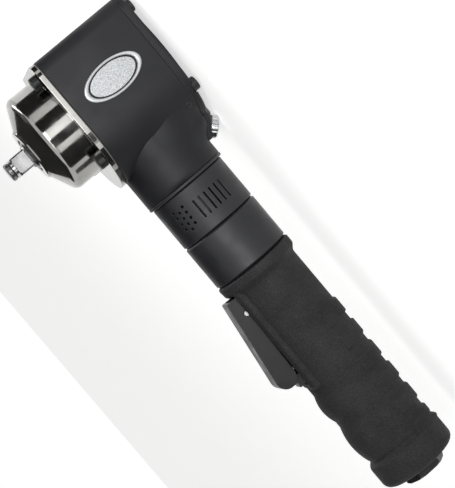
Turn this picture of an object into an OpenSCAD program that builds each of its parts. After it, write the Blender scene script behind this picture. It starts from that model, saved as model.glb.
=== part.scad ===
// Angle impact wrench, air driven, with a 3/8 inch square drive.
//
// Frame: the origin is the centre of the square drive's shoulder. +Z runs along the
// anvil and out of the drive, +X along the handle to the air inlet, and the name plate
// faces +Y. Inside the modules heights are counted from the handle axis, positive
// towards the drive, and seated() moves each piece to the drive's shoulder.

/* [Head] */
// Rear joint face of the head, behind the handle axis
head_rear = 25; // [24.5:0.5:28]
// Front joint face of the head, ahead of the handle axis
head_front = 22; // [22:0.5:25]
// Head screws, to each side of the anvil axis along the handle
screw_x = 23.5; // [23:0.5:25]
// Head screws, to each side of the anvil axis across the handle
screw_y = 22; // [22:0.5:24]
// Radius of the head's corners round its screws
corner_r = 7.5; // [6.5:0.5:9]
// Centre of the head's round lobe, towards the handle
lobe_x = 10; // [10:0.5:12]
// Thickness of the rear cover's plate
cover_t = 3.5; // [3:0.25:5]
// Height of the rear cover's crowned pad above its plate
pad_h = 2.6; // [1:0.1:3]
// Thickness of both head gaskets
gasket_t = 0.4; // [0.3:0.1:0.8]

/* [Hammer case] */
// Thickness of the hammer case's flange
flange_t = 2.6; // [2.2:0.2:4]
// Outer radius of the drum
drum_r = 26.6; // [26.4:0.1:27]
// Wall of the drum round the hammer cage
drum_wall = 4.2; // [3.5:0.1:4.2]
// Height of the nose wall, from the cage's cavity to the nose face
nose_h = 7.4; // [7:0.2:10]
// Radius of the nose face
nose_r = 13.5; // [12.5:0.25:15]

/* [Square drive] */
// Square drive, across flats
drive_w = 9.525; // [6.35:0.025:12.7]
// Length of the square, from its shoulder to the ring groove
drive_len = 7.6; // [6:0.2:10]
// Width of the retaining ring's groove
groove_w = 1.8; // [1.6:0.1:2.4]
// Length of the round tip past the groove
tip_len = 2.5; // [2:0.1:4]
// Anvil's radius in the nose bushing
shank_r = 7.9; // [7.5:0.1:8]

/* [Screws] */
// Thread radius of the head screws
screw_r = 2; // [1.5:0.25:2]
// Radius of the head screws' heads
screw_head_r = 3.5; // [3:0.25:3.5]
// Height of the head screws' heads
screw_head_h = 4; // [3:0.25:5]
// Depth of thread in the housing
screw_grip = 9; // [6:0.5:11]

/* [Air motor] */
// Outer radius of the motor's cylinder and end plates
motor_r = 22.5; // [22:0.1:22.6]
// Bore radius of the motor's cylinder
liner_bore_r = 18; // [17:0.25:18.5]
// Offset of that bore from the rotor's axis
liner_offset = 2.5; // [1.5:0.25:3]
// Number of vanes
vane_count = 6; // [4:1:8]
// Thickness of a vane
vane_t = 2; // [1.5:0.1:2.5]
// Thickness of the motor's end plates
plate_t = 8; // [7.6:0.2:9]

/* [Ball bearings] */
// Outer radius of both bearings
bearing_r = 11; // [10:0.5:11]
// Bore radius of both bearings
bearing_bore_r = 4; // [3.5:0.25:4.5]
// Width of both bearings
bearing_w = 7; // [5:0.5:7]
// Balls in each bearing
ball_count = 7; // [6:1:8]

/* [Hammers] */
// Outer radius of the hammer cage
cage_r = 21.8; // [21.6:0.1:22]
// Thickness of each hammer
hammer_h = 7.2; // [6:0.2:7.2]
// Radius of the hammer pins
pin_r = 2.5; // [2:0.1:2.6]
// Distance of the hammer pins from the anvil axis
pin_circle_r = 16.4; // [16:0.1:16.8]
// Hole round the anvil in each hammer
hammer_hole_r = 11.4; // [11:0.1:11.6]
// Radius of the anvil's impact lobes
lobe_tip_r = 9.7; // [9:0.1:10]
// Swing of each hammer to either side, in degrees
hammer_swing = 6; // [4:0.5:6]

/* [Neck and collar] */
// Radius of the neck
neck_r = 21.75; // [21:0.25:22]
// End of the neck
neck_end = 56; // [54:0.5:60]
// Width of the lip ring at the neck's end
lip_w = 1.6; // [1:0.1:2]
// Radius of the exhaust collar
collar_r = 20.65; // [20:0.05:21.5]
// Length of the exhaust collar
collar_len = 23.6; // [20:0.2:28]
// Wall of the exhaust collar at its outlets
collar_wall = 2.4; // [1.6:0.2:3]
// Radius of the coupling sleeve
sleeve_r = 20.75; // [20:0.05:21.5]
// Length of the coupling sleeve
sleeve_len = 24.6; // [20:0.2:28]
// Radius of the handle core under the collar and sleeve
spigot_r = 16; // [15.5:0.1:16.2]

/* [Grip] */
// Radius of the grip's body
grip_r = 18.9; // [18.4:0.1:20]
// Length of the grip
grip_len = 127; // [122:1:140]
// Radius of the handle core inside the grip
core_r = 15; // [14.5:0.1:15.5]
// Radius of the front flange
grip_flange_r = 21.2; // [20:0.1:22]
// Radius of the rear flare
grip_flare_r = 20.7; // [20:0.1:22]
// Number of raised pads over the grip's back
pad_count = 6; // [4:1:6]
// Distance from one raised pad to the next
pad_pitch = 13.5; // [11:0.5:13.5]
// Length of a raised pad
pad_len = 8.4; // [6:0.2:9]
// Height of the raised pads and finger swells
pad_rise = 1.1; // [0.6:0.1:1.6]

/* [Throttle] */
// Lever pivot from the anvil axis
pivot_x = 123; // [122:0.5:126]
// Lever pivot below the handle axis, towards the drive side
pivot_z = 18.7; // [18.4:0.1:19.4]
// Radius of the lever pin
lever_pin_r = 1.5; // [1.2:0.1:1.8]
// Outer width of the lever
lever_w = 15.6; // [14:0.2:16]
// Sheet thickness of the lever
lever_t = 1.8; // [1.2:0.1:2]
// Slope of the lever away from the grip, in degrees
lever_slope = 8; // [7:0.5:9]
// Length of the lever past its pivot
lever_reach = 41; // [40:0.5:44]
// Distance from the lever's pivot to the plunger
plunger_reach = 35.4; // [34:0.2:36]
// Radius of the plunger's stem
stem_r = 2.2; // [1.6:0.1:2.4]
// Radius of the plunger's spool
spool_r = 3.2; // [3:0.1:3.6]
// Squeeze of the lever, in degrees
lever_travel = 8; // [6:0.5:8]

/* [Reversing selector] */
// Radius of the selector knob
knob_r = 5.6; // [5:0.1:6]
// Height of the selector knob
knob_h = 4.2; // [3:0.1:5]
// Tilt of the selector's axis from the anvil axis, in degrees
knob_tilt = 45; // [42:1:48]
// Place of the selector's seat along the handle
knob_x = 43.5; // [42.5:0.25:44]
// Radius of the selector's valve spool
valve_r = 4; // [3:0.25:4.25]

/* [Air inlet] */
// Tapping radius of the inlet's pipe thread
inlet_bore_r = 5.7; // [5.4:0.1:6]
// Length of that thread
inlet_thread = 14; // [10:0.5:16]
// Inlet bushing's hexagon, across flats
inlet_hex = 20; // [18:0.5:22]
// Height of the hexagon past the grip
inlet_head = 4.5; // [3:0.25:8]
// Radius of the air channel through the handle
channel_r = 4; // [3:0.25:4.5]

/* [Fits] */
// Radial clearance of pieces that turn or slide in one another
running_fit = 0.05; // [0.02:0.01:0.08]
// Gap between other faces that pass one another
free_gap = 0.3; // [0.2:0.05:0.4]
// Radial clearance of screws and other parts that seat without moving
seat_fit = 0.03; // [0.02:0.01:0.06]

/* [Hidden] */
$fn = 64;
over = 1;  // how far a cut runs past the surface it opens

// Head, from the rear to the drive
side_y = screw_y + corner_r;
cover_face = -head_rear - gasket_t;
plate_face = cover_face - cover_t;
flange_face = head_front + gasket_t;
case_seat = flange_face + flange_t;
boss_r = 7.6;
screw_seat = 1.5;

// Air motor and hammers, from the rear to the drive
rear_plate_z = -head_rear + 0.1;
liner_z = rear_plate_z + plate_t;
front_plate_end = 15.6;
liner_end = front_plate_end - plate_t;
stop_t = 1;
rotor_r = liner_bore_r - liner_offset - 0.1;
rotor_gap = 0.2;
race_t = 1.9;
cage_z = front_plate_end + stop_t + 0.4;
cage_disc_t = 3.4;
hammer_a_z = cage_z + cage_disc_t + free_gap;
hammer_b_z = hammer_a_z + hammer_h + free_gap;
cage_ring_z = hammer_b_z + hammer_h + free_gap;
cage_end = cage_ring_z + cage_disc_t;
cavity_r = drum_r - drum_wall;
thrust_t = 1.2;
cavity_end = cage_end + thrust_t + 2 * free_gap;
nose_face = cavity_end + nose_h;
hub_r = 6.5;
hub_h = 1.6;
hub_hex_r = 3.9;
post_x = 17.4;
hammer_half_w = 14;
anvil_r = 8.2;
anvil_z = cage_z + cage_disc_t + hub_h + 2 * free_gap;
drive_base = nose_face + 1.6;
recess_r = 9.4;
recess_h = 1.8;
seal_h = 1.2;

// Neck, collar, sleeve and handle, along the handle axis
spigot_x = 44;
lip_x = neck_end;
collar_x = lip_x + lip_w + free_gap;
sleeve_x = collar_x + collar_len + free_gap;
grip_x = sleeve_x + sleeve_len + 0.4;
grip_end = grip_x + grip_len;
core_end = grip_end - 2;
chamber_r = 13;
chamber_end = sleeve_x + sleeve_len - 6;
tube_r = 5;
tube_x = 36;
o_ring_r = 1.1;

// Lever and throttle
lever_x = pivot_x - 9.2;
lever_back_z = 23.9;
lever_end_x = pivot_x + lever_reach;
lever_end_r = 5.4;
lever_edge_z = 17.8;
window_half_w = lever_w / 2 + 0.5;
window_end = lever_end_x + 5;
window_floor = core_r - 1.8;
plunger_x = pivot_x + plunger_reach;
lever_pad_gap = 0.25;
plunger_top = lever_floor(plunger_x) - lever_pad_gap;
bushing_r = spool_r + 1.4;
bushing_top = window_floor + 1.3;
bushing_bottom = -window_floor;
spool_top = bushing_top - 1.2;
spool_bottom = -channel_r + 0.6;
spring_wire = 0.6;

// Reversing selector: its seat on the boss's slanted face
knob_z = -26.3;
valve_len = 20;
selector_wall = 1.5;

// Inlet
inlet_shank_r = 9.5;
inlet_end = grip_end + inlet_head;
inlet_seat = inlet_end - inlet_thread - 4;
screen_t = 1;

screw_places = [for (sx = [-1, 1], sy = [-1, 1]) [sx * screw_x, sy * screw_y]];

// Inner face of the lever's web at a place along the handle
function lever_floor(x) =
    lever_back_z + (x - lever_x) * tan(lever_slope) - lever_t / cos(lever_slope);

// Points of an ellipse
function ellipse(a, b, n = 72) = [for (i = [0:n - 1]) [a * cos(i * 360 / n), b * sin(i * 360 / n)]];

// ---- Placing helpers ----

module seated() translate([0, 0, -drive_base]) children();

module along_x(x) translate([x, 0, 0]) rotate([0, 90, 0]) children();

module along_z(z, h) translate([0, 0, z]) linear_extrude(h) children();

module at_screws() for (p = screw_places) translate([p[0], p[1], 0]) children();

module at_selector() translate([knob_x, 0, knob_z]) rotate([0, 180 - knob_tilt, 0]) children();

// Bore through the cover, gasket and casting that takes the selector's bushing
module selector_bore() at_selector() translate([0, 0, -valve_len - 1])
    cylinder(r = valve_r + selector_wall + seat_fit, h = 3 * valve_len);

// A plain ring or tube standing on its base
module ring(r_out, r_in, h)
    rotate_extrude() translate([r_in, 0]) square([r_out - r_in, h]);

// A straight cylinder with both rims chamfered
module chamfered(r, h, c)
    rotate_extrude() polygon([[0, 0], [r - c, 0], [r, c], [r, h - c], [r - c, h], [0, h]]);

// ---- Head ----

// Plan of the head: two corners round the screws and one round lobe to the handle
module head_plan(inset = 0) {
    hull() {
        for (sy = [-1, 1]) translate([-screw_x, sy * screw_y]) circle(corner_r - inset);
        translate([lobe_x, 0]) circle(side_y - inset, $fn = 120);
    }
}

// Rear half of the casting, drawn out from the lobe to the round neck, a little
// inside both so that their own curved faces stay whole
module neck_blend(grow = 0) {
    inset = 0.1 - grow;
    hull() {
        translate([lobe_x, 0, inset - head_rear]) cylinder(r = side_y - inset, h = 7, $fn = 96);
        intersection() {
            along_x(neck_end - 8) cylinder(r = neck_r - inset, h = 1, $fn = 96);
            translate([0, -neck_r, -neck_r]) cube([neck_end, 2 * neck_r, neck_r]);
        }
    }
}

module head_housing() seated() color("#26272b") difference() {
    union() {
        along_z(-head_rear, head_rear + head_front) head_plan();
        neck_blend();
        along_x(lobe_x) cylinder(r = neck_r, h = neck_end - lobe_x);
    }
    // motor bore, its front stop and the mouth of the hammer cavity
    translate([0, 0, -head_rear - over]) cylinder(r = motor_r + seat_fit, h = front_plate_end + head_rear + over);
    cylinder(r = motor_r - 3.5, h = head_front);
    translate([0, 0, front_plate_end + stop_t]) cylinder(r = cavity_r + 0.1, h = head_front);
    // spigot thread, air passage and exhaust passages
    along_x(spigot_x) cylinder(r = spigot_r + seat_fit, h = neck_end);
    along_x(tube_x) cylinder(r = tube_r + seat_fit, h = neck_end);
    along_x(motor_r - over) cylinder(r = channel_r - 1, h = neck_end);
    for (sy = [-1, 1]) translate([0, sy * 10, 4]) along_x(motor_r - 5) cylinder(r = 3, h = neck_end - motor_r);
    // selector bore and the port it feeds
    selector_bore();
    at_selector() translate([0, 0, -valve_len - 12]) cylinder(r = valve_r - 1.5, h = valve_len);
    // tapped screw holes from both faces
    at_screws() translate([0, 0, -head_rear - over]) cylinder(r = screw_r + seat_fit, h = screw_grip + 1 + over);
    at_screws() translate([0, 0, head_front - screw_grip - 1]) cylinder(r = screw_r + seat_fit, h = screw_grip + 2);
    // oil plug's thread
    at_oil_plug() translate([0, 0, -oil_plug_len - 12]) cylinder(r = oil_plug_r + seat_fit, h = 40);
}

// ---- Oil plug on the lobe's flank ----
oil_plug_r = 1.6;
oil_plug_len = 4;

module at_oil_plug()
    translate([lobe_x, 0, -head_rear + 3.4]) rotate([0, 0, 48]) rotate([0, 90, 0])
        translate([0, 0, side_y]) children();

module oil_plug() seated() color("#8b8d90") at_oil_plug() difference() {
    translate([0, 0, -oil_plug_len]) chamfered(oil_plug_r, oil_plug_len - 0.3, 0.3);
    translate([0, 0, -2]) cylinder(r = 0.9, h = 3, $fn = 6);
}

module rear_cover() seated() color("#26272b") difference() {
    union() {
        hull() {
            along_z(plate_face + 1, cover_t - 1) head_plan();
            along_z(plate_face, 1) head_plan(0.8);
        }
        rear_pad();
        selector_boss();
    }
    at_selector() cylinder(r = knob_r + 1, h = 20);
    at_screws() translate([0, 0, plate_face - 5]) cylinder(r = screw_head_r + 0.6, h = 5 + screw_seat);
    at_screws() translate([0, 0, plate_face - over]) cylinder(r = screw_r + 0.2, h = cover_t + 2 * over);
    selector_bore();
}

// Crowned pad on the cover, cut back round the four screws
module rear_pad() {
    crown_r = 190;
    intersection() {
        along_z(plate_face - pad_h, pad_h + over) difference() {
            intersection() {
                head_plan(1);
                translate([-screw_x - 1, -side_y]) square([2 * screw_x - 5, 2 * side_y]);
            }
            for (p = screw_places) translate(p) circle(screw_head_r + 3.4);
        }
        translate([0, 0, plate_face - pad_h + crown_r]) sphere(r = crown_r, $fn = 200);
    }
}

// Boss over the neck's root, with the slanted face that carries the selector; its
// underside follows the casting below it
module selector_boss() difference() {
    hull() {
        at_selector() translate([0, 0, -2]) cylinder(r = boss_r - 0.6, h = 2, $fn = 32);
        at_selector() translate([0, 0, -4]) cylinder(r = boss_r, h = 2, $fn = 32);
        translate([lobe_x + 8, -boss_r - 3, plate_face]) cube([12, 2 * boss_r + 6, cover_t]);
        translate([neck_end - 12, -boss_r, -neck_r - 1]) cube([5, 2 * boss_r, 3]);
    }
    along_z(cover_face, head_rear) head_plan(-0.1);
    neck_blend(0.1);
    along_x(lobe_x) cylinder(r = neck_r + 0.1, h = neck_end);
}

module rear_gasket() seated() color("#3b3a38") difference() {
    along_z(-head_rear - gasket_t, gasket_t) difference() {
        head_plan(0.3);
        circle(motor_r);
        for (p = screw_places) translate(p) circle(screw_r + 0.3);
    }
    selector_bore();
}

// Socket head screw whose head stands on z = 0 and whose thread runs down
module socket_screw(grip) difference() {
    union() {
        chamfered(screw_head_r, screw_head_h, 0.4);
        translate([0, 0, -grip]) cylinder(r = screw_r, h = grip + 1);
    }
    translate([0, 0, screw_head_h - 2.2]) cylinder(r = screw_r * 0.87, h = 3, $fn = 6);
}

module rear_cover_screws() seated() color("#1b1b1d") at_screws()
    translate([0, 0, plate_face + screw_seat]) mirror([0, 0, 1])
        socket_screw(cover_t - screw_seat + gasket_t + screw_grip);

module hammer_case_screws() seated() color("#1b1b1d") at_screws()
    translate([0, 0, case_seat]) socket_screw(flange_t + gasket_t + screw_grip);

plate_w = 16.4;
plate_l = 32;
badge_t = 0.8;

// Bare oval plate with a raised rim, on the flat side of the head
module name_plate() seated() color("#c9cbce")
    translate([-2.8, side_y, -1.5]) rotate([-90, 0, 0]) difference() {
        linear_extrude(badge_t) polygon(ellipse(plate_w / 2, plate_l / 2));
        translate([0, 0, badge_t - 0.3]) linear_extrude(over) difference() {
            polygon(ellipse(plate_w / 2 - 1.6, plate_l / 2 - 2.6));
            polygon(ellipse(plate_w / 2 - 2.2, plate_l / 2 - 3.6));
        }
    }

// ---- Hammer case ----

module front_gasket() seated() color("#3b3a38") along_z(head_front, gasket_t) difference() {
    head_plan(0.3);
    circle(cavity_r + 0.2);
    for (p = screw_places) translate(p) circle(screw_r + 0.3);
}

module hammer_case() seated() color("#77787b") difference() {
    union() {
        along_z(flange_face, flange_t) head_plan();
        rotate_extrude($fn = 128) drum_profile();
    }
    translate([0, 0, flange_face - over]) cylinder(r = cavity_r, h = cavity_end - flange_face + over);
    cylinder(r = nose_bore_r, h = nose_face + over);
    translate([0, 0, nose_face - recess_h]) cylinder(r = recess_r, h = recess_h + over);
    at_screws() translate([0, 0, flange_face - over]) cylinder(r = screw_r + 0.2, h = flange_t + 2 * over);
}

// Half section of the drum: straight wall, rounded shoulder, cone and nose lip
module drum_profile() {
    shoulder_r = 4;
    shoulder_z = cavity_end - 2.2;
    slope = 28;
    polygon(concat(
        [[0, flange_face], [drum_r, flange_face]],
        [for (a = [0:6:90 - slope]) [
            drum_r - shoulder_r + shoulder_r * cos(a),
            shoulder_z + shoulder_r * sin(a)
        ]],
        [[nose_r + 0.6, nose_face - 1.2], [nose_r, nose_face - 0.4],
         [nose_r - 0.4, nose_face], [0, nose_face]]
    ));
}

nose_bore_r = shank_r + running_fit + 1.4;

module nose_bushing() seated() color("#a98a4c")
    translate([0, 0, cavity_end]) ring(nose_bore_r - seat_fit, shank_r + running_fit, nose_h - recess_h);

module nose_seal() seated() color("#151515")
    translate([0, 0, nose_face - recess_h]) ring(recess_r - seat_fit, shank_r + running_fit, seal_h);

// ---- Air motor ----

module motor_cylinder() seated() color("#8f9296") along_z(liner_z, liner_end - liner_z) difference() {
    circle(motor_r);
    translate([liner_offset, 0]) circle(liner_bore_r);
    // inlet and exhaust ports along the flank that faces the neck
    for (a = [-24, 0, 24]) rotate(a) translate([liner_bore_r, -2]) square([10, 4]);
}

// End plate with its bearing seat opening away from the rotor
module end_plate() difference() {
    cylinder(r = motor_r, h = plate_t);
    translate([0, 0, plate_t - bearing_w - 0.5]) cylinder(r = bearing_r + seat_fit, h = bearing_w + over);
    translate([0, 0, -over]) cylinder(r = bearing_bore_r + 1.2, h = plate_t + 2 * over);
}

module rear_end_plate() seated() color("#a5a8ab")
    translate([0, 0, liner_z]) mirror([0, 0, 1]) end_plate();

module front_end_plate() seated() color("#a5a8ab")
    translate([0, 0, liner_end]) end_plate();

rear_bearing_z = rear_plate_z + 0.5;
front_bearing_z = front_plate_end - 0.5 - bearing_w;

module at_bearings() {
    translate([0, 0, rear_bearing_z]) children();
    translate([0, 0, front_bearing_z]) children();
}

ball_gap = bearing_r - bearing_bore_r - 2 * race_t;

module bearing_outer_races() seated() color("#c4c7ca") at_bearings()
    ring(bearing_r, bearing_r - race_t, bearing_w);

module bearing_inner_races() seated() color("#c4c7ca") at_bearings()
    ring(bearing_bore_r + race_t, bearing_bore_r + seat_fit, bearing_w);

module bearing_balls() seated() color("#d9dbdd") at_bearings()
    for (i = [0:ball_count - 1]) rotate(i * 360 / ball_count)
        translate([bearing_bore_r + race_t + ball_gap / 2, 0, bearing_w / 2])
            sphere(r = ball_gap / 2 - running_fit);

vane_depth = 7.4;
slot_floor = rotor_r - vane_depth - 0.5;

module rotor() seated() color("#9a9da1") {
    difference() {
        translate([0, 0, liner_z + rotor_gap]) cylinder(r = rotor_r, h = liner_end - liner_z - 2 * rotor_gap);
        for (i = [0:vane_count - 1]) rotate(i * 360 / vane_count)
            translate([slot_floor, -vane_t / 2 - running_fit, liner_z - over])
                cube([vane_depth + 2, vane_t + 2 * running_fit, liner_end - liner_z + 2 * over]);
    }
    translate([0, 0, rear_bearing_z]) cylinder(r = bearing_bore_r, h = front_bearing_z + bearing_w - rear_bearing_z);
    translate([0, 0, front_bearing_z + bearing_w]) cylinder(r = hub_hex_r, h = cage_z + cage_disc_t - front_bearing_z - bearing_w, $fn = 6);
}

module rotor_vanes() seated() color("#6e5a3a") for (i = [0:vane_count - 1]) rotate(i * 360 / vane_count)
    translate([slot_floor + 0.2, -vane_t / 2, liner_z + rotor_gap])
        cube([vane_depth, vane_t, liner_end - liner_z - 2 * rotor_gap]);

// ---- Twin hammer mechanism ----

module at_pins() for (sy = [-1, 1]) translate([0, sy * pin_circle_r, 0]) children();

module hammer_cage() seated() color("#85888c") difference() {
    union() {
        translate([0, 0, cage_z]) chamfered(cage_r, cage_disc_t, 0.5);
        translate([0, 0, cage_z]) cylinder(r = hub_r, h = cage_disc_t + hub_h);
        translate([0, 0, cage_ring_z]) chamfered(cage_r, cage_disc_t, 0.5);
        along_z(cage_z + 1, cage_end - cage_z - 2) difference() {
            circle(cage_r - 0.5);
            square([2 * post_x, 2 * cage_r], center = true);
        }
    }
    translate([0, 0, cage_z - over]) cylinder(r = hub_hex_r + seat_fit, h = cage_disc_t + over, $fn = 6);
    translate([0, 0, cage_ring_z - over]) cylinder(r = lobe_tip_r + free_gap, h = cage_disc_t + 2 * over);
    at_pins() translate([0, 0, cage_z - over]) cylinder(r = pin_r + seat_fit, h = cage_end - cage_z + 2 * over);
}

module hammer_pins() seated() color("#b9bcbf") at_pins()
    translate([0, 0, cage_z + 0.2]) chamfered(pin_r, cage_end - cage_z - 0.4, 0.3);

// Plan of one hammer on the +Y pin: ring body, pin hole, notch round the far pin and
// two inner jaws that meet the anvil's lobe when the hammer swings
module hammer_plan() difference() {
    intersection() {
        circle(pin_circle_r + pin_r + 1.9);
        square([2 * hammer_half_w, 2 * cage_r], center = true);
    }
    difference() {
        circle(hammer_hole_r);
        for (sx = [-1, 1]) rotate(-90 + sx * 42) translate([lobe_tip_r + free_gap, -2]) square([4, 4]);
    }
    translate([0, pin_circle_r]) circle(pin_r + running_fit);
    translate([-far_notch, -cage_r - over]) square([2 * far_notch, cage_r + over - pin_circle_r + pin_r + free_gap]);
}

far_notch = 2 * pin_circle_r * sin(hammer_swing) + pin_r + free_gap;

module hammer_a() seated() color("#6f7276") along_z(hammer_a_z, hammer_h) hammer_plan();

module hammer_b() seated() color("#6f7276") along_z(hammer_b_z, hammer_h) rotate(180) hammer_plan();

// ---- Anvil ----

// Lobe of the anvil at one hammer's level, centred on that hammer's own pin
module impact_lobe(z, h, turn) rotate([0, 0, turn]) along_z(z, h) intersection() {
    circle(lobe_tip_r);
    translate([0, lobe_tip_r]) square([8, lobe_tip_r], center = true);
}

module anvil() seated() color("#8d8f92") {
    square_end = drive_base + drive_len;
    tip_r = drive_w / 2 - 0.1;
    groove_r = drive_w / 2 - 1.5;
    translate([0, 0, anvil_z]) cylinder(r = anvil_r, h = cage_end + free_gap - anvil_z);
    impact_lobe(anvil_z, hammer_a_z + hammer_h - anvil_z, 0);
    impact_lobe(hammer_b_z, hammer_h, 180);
    translate([0, 0, cage_end + free_gap]) cylinder(r = nose_bore_r + 1.2, h = thrust_t);
    rotate_extrude() polygon([
        [0, cage_end], [shank_r, cage_end], [shank_r, nose_face - 0.3],
        [drive_w / 2 + 1.6, nose_face + 0.6], [drive_w / 2 + 1, drive_base], [0, drive_base]
    ]);
    intersection() {
        translate([-drive_w / 2, -drive_w / 2, drive_base - over]) cube([drive_w, drive_w, drive_len + over]);
        translate([0, 0, drive_base - over]) chamfered(drive_w * 0.66, drive_len + over, 0.8);
    }
    translate([0, 0, square_end - over]) cylinder(r = groove_r, h = groove_w + 2 * over);
    translate([0, 0, square_end + groove_w]) chamfered(tip_r, tip_len, 0.5);
}

// Split ring that holds the socket, sprung outwards by the O-ring under it
module friction_ring() seated() color("#9c9ea1")
    translate([0, 0, drive_base + drive_len + 0.2]) difference() {
        ring(drive_w / 2 + 0.1, drive_w / 2 - 0.6, groove_w - 0.4);
        translate([2, -0.4, -over]) cube([5, 0.8, groove_w + 2 * over]);
    }

module retainer_o_ring() seated() color("#151515")
    translate([0, 0, drive_base + drive_len + groove_w / 2])
        rotate_extrude() translate([drive_w / 2 - 1.05, 0]) circle(0.4);

// ---- Reversing selector ----

module selector_knob() seated() color("#d5d6d8") at_selector() difference() {
    translate([0, 0, free_gap]) chamfered(knob_r, knob_h, 0.7);
    for (i = [0:11]) rotate(i * 30) translate([knob_r + 0.5, 0, 1.2]) cylinder(r = 0.9, h = knob_h);
    translate([-knob_r, -0.5, free_gap + knob_h - 0.7]) cube([2 * knob_r, 1, 2]);
}

module selector_spool() seated() color("#b5b8bb") at_selector() difference() {
    translate([0, 0, -valve_len + 0.5]) chamfered(valve_r - running_fit, valve_len - 0.5 + free_gap, 0.2);
    translate([-valve_r - over, -valve_r - over, -valve_len + 4]) cube([2 * valve_r + 2 * over, valve_r, 6]);
}

module selector_bushing() seated() color("#a98a4c") at_selector() difference() {
    translate([0, 0, -valve_len]) cylinder(r = valve_r + selector_wall, h = valve_len);
    translate([0, 0, -valve_len + 0.5 - running_fit]) cylinder(r = valve_r, h = valve_len + over);
    translate([0, 0, -valve_len - over]) cylinder(r = valve_r - 1.5, h = 3);
    translate([0, 0, -valve_len + 7]) rotate([90, 0, 0]) cylinder(r = 1.6, h = 20, center = true);
}

// ---- Neck ring, exhaust collar and coupling sleeve ----

module neck_lip_ring() seated() color("#2c2d31") along_x(lip_x) difference() {
    chamfered(neck_r + 0.15, lip_w, 0.3);
    translate([0, 0, -over]) cylinder(r = spigot_r + seat_fit, h = lip_w + 2 * over);
}

slot_count = 6;
slot_step = 9;
hole_rows = 3;
hole_row_len = 4;

// Turning ring with a row of slots on one flank and staggered holes beside them
module exhaust_collar() seated() color("#26272b") along_x(collar_x) difference() {
    chamfered(collar_r, collar_len, 0.5);
    translate([0, 0, -over]) cylinder(r = spigot_r + running_fit, h = collar_len + 2 * over);
    translate([0, 0, 5]) cylinder(r = collar_r - collar_wall, h = collar_len - 10);
    for (i = [0:slot_count - 1]) rotate(90 + (i - 3.2) * slot_step)
        translate([collar_r - collar_wall - over, -0.5, 7]) cube([collar_wall + 2 * over, 1, 10]);
    for (row = [0:hole_rows - 1], i = [0:hole_row_len - 1])
        rotate(90 + 33 + row * slot_step) translate([0, 0, 6.2 + 3.2 * i + (row % 2) * 1.6])
            rotate([0, 90, 0]) cylinder(r = 0.8, h = collar_r + over);
}

module collar_o_rings() seated() color("#151515") for (x = [collar_x + 2.5, collar_x + collar_len - 2.5])
    along_x(x) rotate_extrude() translate([spigot_r + running_fit - o_ring_r - 0.02, 0]) circle(o_ring_r);

module coupling_sleeve() seated() color("#26272b") along_x(sleeve_x) difference() {
    chamfered(sleeve_r, sleeve_len, 1);
    translate([0, 0, -over]) cylinder(r = spigot_r + seat_fit, h = sleeve_len + 2 * over);
}

// ---- Handle ----

module handle_core() seated() color("#3a3b3f") difference() {
    union() {
        along_x(spigot_x) cylinder(r = spigot_r, h = grip_x - spigot_x);
        along_x(grip_x) cylinder(r = core_r, h = core_end - grip_x);
        // lug that carries the lever's pin, and the rest block past the plunger
        translate([pivot_x, 0, pivot_z]) rotate([90, 0, 0])
            cylinder(r = lever_pin_r + 2.2, h = lug_w, center = true);
        translate([pivot_x - lever_pin_r - 2.2, -lug_w / 2, 0]) cube([2 * lever_pin_r + 4.4, lug_w, pivot_z]);
        translate([rest_x, -lug_w / 2, 0]) cube([rest_len, lug_w, rest_z]);
    }
    // flat under the lever, leaving the lug and the rest block
    lever_bay_cut(window_floor, lug_x1 = pivot_x - lever_pin_r - 2.2, lug_x2 = pivot_x + lever_pin_r + 2.2);
    // exhaust chamber with its ports, air channel, valve hole and inlet thread
    along_x(spigot_x - over) cylinder(r = chamber_r, h = chamber_end - spigot_x + over);
    for (i = [0:5]) along_x(collar_x + collar_len / 2) rotate(i * 60) rotate([0, 90, 0])
        cylinder(r = 2.5, h = spigot_r + over);
    along_x(chamber_end - over) cylinder(r = tube_r + seat_fit, h = 7);
    along_x(chamber_end) cylinder(r = channel_r, h = inlet_seat - chamber_end);
    translate([plunger_x, 0, bushing_bottom]) cylinder(r = bushing_r + seat_fit, h = 3 * core_r);
    along_x(inlet_seat - screen_t) cylinder(r = inlet_shank_r + seat_fit, h = 60);
    translate([pivot_x, 0, pivot_z]) rotate([90, 0, 0])
        cylinder(r = lever_pin_r + seat_fit, h = 2 * core_r, center = true);
    for (x = [collar_x + 2.5, collar_x + collar_len - 2.5]) along_x(x)
        rotate_extrude() translate([spigot_r - 2 * o_ring_r, -o_ring_r]) square([4, 2 * o_ring_r]);
}

lug_w = lever_w - 2 * lever_t - 2 * free_gap;
rest_x = plunger_x + stem_r + 0.5;
rest_len = 6;
rest_z = 21.6;

// Space that the lever's walls move in: all of the bay except the lug and the rest block
module lever_bay_cut(floor_z, lug_x1, lug_x2) difference() {
    translate([lever_x - 1.2, -window_half_w, floor_z])
        cube([window_end - lever_x + 1.2, 2 * window_half_w, 2 * core_r]);
    translate([lug_x1, -lug_w / 2, 0]) cube([lug_x2 - lug_x1, lug_w, 40]);
    translate([rest_x, -lug_w / 2, 0]) cube([rest_len, lug_w, 40]);
}

module air_tube() seated() color("#b08d4a")
    along_x(tube_x) ring(tube_r, channel_r, chamber_end + 5 - tube_x);

grip_taper = 3.5;
grip_flange_len = 4.6;
flare_len = 12;
first_pad_x = 145;
wrap = 73;
swell_r = 20;

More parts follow.
